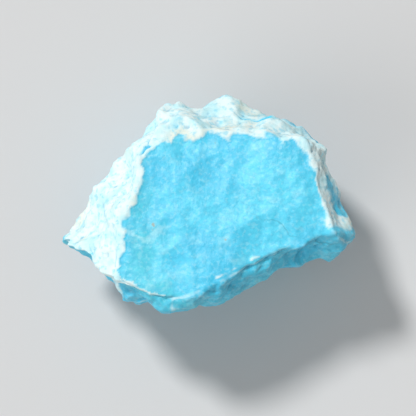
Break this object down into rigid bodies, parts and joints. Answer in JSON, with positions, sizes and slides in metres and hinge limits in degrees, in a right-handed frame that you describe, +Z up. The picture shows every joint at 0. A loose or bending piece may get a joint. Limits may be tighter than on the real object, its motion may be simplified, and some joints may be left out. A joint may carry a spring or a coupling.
{
  "type": "raw turquoise nugget",
  "caption": "Small angular fragment of raw turquoise with a flat break on top, sloping broken sides and a flat break to stand on, for inlay, display or scatter.",
  "frame": {"origin": "middle of the stone's bounding box, at the level of the flat break that it stands on", "axes": "+X along the length, from the thin left tip towards the square right end; +Y towards the back; +Z up through the flat top break"},
  "size_m": [0.0066, 0.0052, 0.004],
  "materials": {
    "turquoise": "matte broken stone, sky blue, paler and chalky along the edges"
  },
  "bodies": {
    "root": {"turquoise_nugget": "turquoise"}
  },
  "joints": []
}
